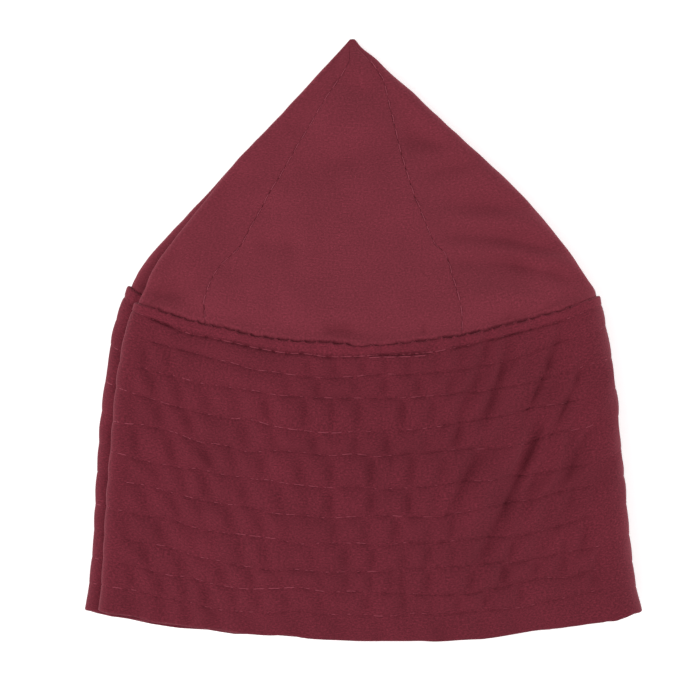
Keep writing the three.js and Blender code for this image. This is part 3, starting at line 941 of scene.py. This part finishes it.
def gore_relief(number, rounds, x, y, v, from_seam):
    """How far a gore's cloth stands out, and how deep its seams are drawn in."""
    from_tip = CROWN_HEIGHT - v

    # The cloth comes up beside the band's edge, almost level with it, and pleats a little there.
    on_top = looseness(rounds, creases=0, upper=1.0, inner=0)
    on_top = on_top * smooth(from_crease(rounds), 0, 0.04)
    above_band = v - edge_wave(x)
    swell = EDGE_RISE * smooth(above_band, -0.1, 0.4) * (1 - smooth(v, 5, 22))
    foot = 0.1 * near(np.maximum(above_band, 0), 1.9)
    foot += np.interp(x, CREVICE["x"], CREVICE["depth"]) * near(above_band - 0.15, 0.25)
    pleats = lumps(x, y, 26, size=(1.9, 9), height=0.14) * near(v, 3.5) * smooth(x, 5, 30)

    # It lies in shallow folds, and its seams ripple.
    broad = lumps(x, y, 21, size=(13, 11), height=0.55)
    small = lumps(x, y, 22, size=(4.5, 4.5), height=0.24)
    ripple = lumps(v, number * 7.3, 23, size=(2, 1), height=0.10) * near(from_seam, 1.8)
    folds = broad + small + ripple
    folds *= smooth(v, 0, 5) * smooth(from_tip, 0, 8)
    loose = looseness(rounds, creases=0.5, upper=1.0, inner=0.3)
    stand = folds * loose + (swell - foot + pleats) * on_top

    # A seam opens at its needle holes, most where it is strained and least close to the band.
    dash = np.exp(-(((v - 1.5) % STITCH_PITCH - STITCH_PITCH / 2) ** 2) / 0.4)
    strained = near(y - 103, 7)
    holes = 0.22 + 0.1 * strained + lumps(v, 0, 27, size=(5, 1), height=0.12)
    holes = holes - 0.12 * smooth(-y, -101, -95)
    groove = 0.05 + 0.12 * strained + holes * dash
    groove += 0.3 * near(v - 2.2, 1.5)
    groove *= near(from_seam, 0.2) * smooth(from_tip, 1, 12)
    return stand, groove


def crown_gore(number, seams, at, sections, wall, material):
    """One gore, from a seam to the next. Its edges turn down into the seams. Returns the seam it
    starts at, as points and normals."""
    spacing = 0.6 if number in (0, 7) else 1.4  # finer in the two gores that show most
    rounds = gore_rounds(seams[number], seams[number + 1], spacing, sections, wall)
    middle = middle_of(sections, wall, rounds)
    normal = normals_of(middle, looped=False)
    run = arc_lengths(middle)
    u = run - run[:, -1:] / 2
    v = np.broadcast_to(at * CROWN_HEIGHT, u.shape)
    from_seam = np.minimum(run, run[:, -1:] - run)
    stand, groove = gore_relief(number, rounds, middle[..., 0], middle[..., 1], v, from_seam)

    half = wall / 2 * edge_thickness((1 - at) * CROWN_HEIGHT)
    outer = middle + normal * (half + stand - groove)[..., None]
    inner = middle - normal * (half - stand)[..., None]
    along = unit(np.gradient(middle, axis=1))
    inset = SEAM_GAP / 2 * near(from_seam, 0.3) * np.sign(run[:, -1:] / 2 - run)
    inset *= smooth(CROWN_HEIGHT - v, 1, 6)
    outer += along * inset[..., None]
    inner += along * inset[..., None]
    outer[..., 2] = np.maximum(outer[..., 2], LOWEST)
    name = f"crown_gore_{number + 1}"
    cloth = shell(outer, inner[::2, ::2], u, v, looped=False)
    piece = new_piece(name + "_cloth", *cloth, material, "crown_cloth", [name])
    return outer[:, 0], normal[:, 0]


def crown(material, stitch_material):
    """The eight gores and the stitches that show in their seams."""
    # Rows of the grid, in millimetres above the band's upper edge, odd in number.
    inside = np.array([-4.8, -3.2, -1.9, -1.1, -0.5])
    outside = np.array([0.0, 0.2, 0.4, 0.65, 1.0, 1.5])
    to_tip = np.linspace(2.0, CROWN_HEIGHT - 0.7, 110)
    tip = CROWN_HEIGHT - np.array([0.35, 0.12])
    at = np.concatenate([inside, outside, to_tip, tip])[:, None] / CROWN_HEIGHT
    wall = CROWN_WALL + (TIP_WALL - CROWN_WALL) * smooth(at, 0.8, 0.98)
    sections = crown_sections(at)
    seams = [TOP_FACE + seam_share(sections, wall, side) for side in ("left", "right")]
    seams += [np.full_like(at, seam) for seam in HIDDEN_SEAMS]
    seams.append(seams[0] + STRETCHES)
    first_hole, from_tip, raised = 2.0, 5.0, 0.12
    lines = []
    for number in range(len(seams) - 1):
        line, normal = crown_gore(number, seams, at, sections, wall, material)
        length = arc_lengths(line[None])[0][-1]
        holes = np.arange(first_hole, length - from_tip, STITCH_PITCH)
        lines.append((line, normal, np.full(len(line), -raised), holes))
    sew("crown_stitching", lines, stitch_material, SEAM_STITCH_LENGTH, SEAM_THREAD)


# ---- floor, light and camera ----


def backlit_acrylic():
    """A sheet of white acrylic lit from below. It is matt, and its own light washes out shadows."""
    glow = {"Emission_Color": (1, 1, 1, 1), "Emission_Strength": 0.38}
    surface = {"Base_Color": linear("#FAFAFA"), "Roughness": 0.9}
    return new_material("backlit_white_acrylic", **surface, **glow)[0]


def studio():
    """The floor, soft light from all round and three lamps. Places and sizes are in metres."""
    clear_below = 0.0002
    floor_at = (0, 0, float(CAD_BOX[0].z) - clear_below)
    bpy.ops.mesh.primitive_plane_add(size=6, location=floor_at)
    floor = bpy.context.object
    floor.name = "floor"
    floor.data.materials.append(backlit_acrylic())

    world = bpy.data.worlds.new("soft_room")
    bpy.context.scene.world = world
    world.use_nodes = True
    background = world.node_tree.nodes["Background"]
    background.inputs["Color"].default_value = (1, 1, 1, 1)
    background.inputs["Strength"].default_value = 0.66

    # Power is in watts. The first lamp is the main one.
    lamps = table("x y z size power", [
        [-0.85, -0.2, 0.6, 0.6, 7.0],
        [0.95, -0.3, 0.6, 0.8, 4.6],
        [1.1, 0.2, 0.12, 0.4, 2.5],
    ])
    for i, (x, y, z, size, power) in enumerate(zip(*lamps.values())):
        light = bpy.data.lights.new(f"softbox_{i + 1}", "AREA")
        light.shape = "SQUARE"
        light.size = size
        light.energy = power
        lamp = bpy.data.objects.new(light.name, light)
        lamp.location = (x, y, z)
        lamp.rotation_euler = (-lamp.location).to_track_quat("-Z", "Y").to_euler()
        bpy.context.scene.collection.objects.link(lamp)


def camera():
    """Straight above, as far off as a long lens needs to take in the view."""
    view_width = 182.9  # across the view at the height of the cloth
    centre = (-3.46, 76.17, 12)
    lens = bpy.data.cameras.new("camera")
    lens.lens = 400
    lens.sensor_width = 36
    overhead = bpy.data.objects.new("camera", lens)
    spot = to_frame([centre])[0]
    distance = view_width * MM * lens.lens / lens.sensor_width
    overhead.location = spot + (0, 0, distance)
    bpy.context.scene.collection.objects.link(overhead)
    bpy.context.scene.camera = overhead


camera()
studio()
bpy.context.scene.view_settings.view_transform = "Standard"
# The band's rolled upper edge, above its topstitch, gets a painted highlight.
lip = STITCH_ROWS[TOPSTITCH] * BAND_HEIGHT
# The band is the same cloth as the crown, but its colours are darker: painted shade for the small
# hollows of its quilting.
shaded_band_cotton = woven_cotton("woven_cotton_band", "#501520", "#7A2837", 0.7, highlight_above=lip)
crown_cotton = woven_cotton("woven_cotton_crown", "#61212B", "#853140", 0.6)
thread = sewing_thread()
quilted_band(shaded_band_cotton, thread)
crown(crown_cotton, thread)
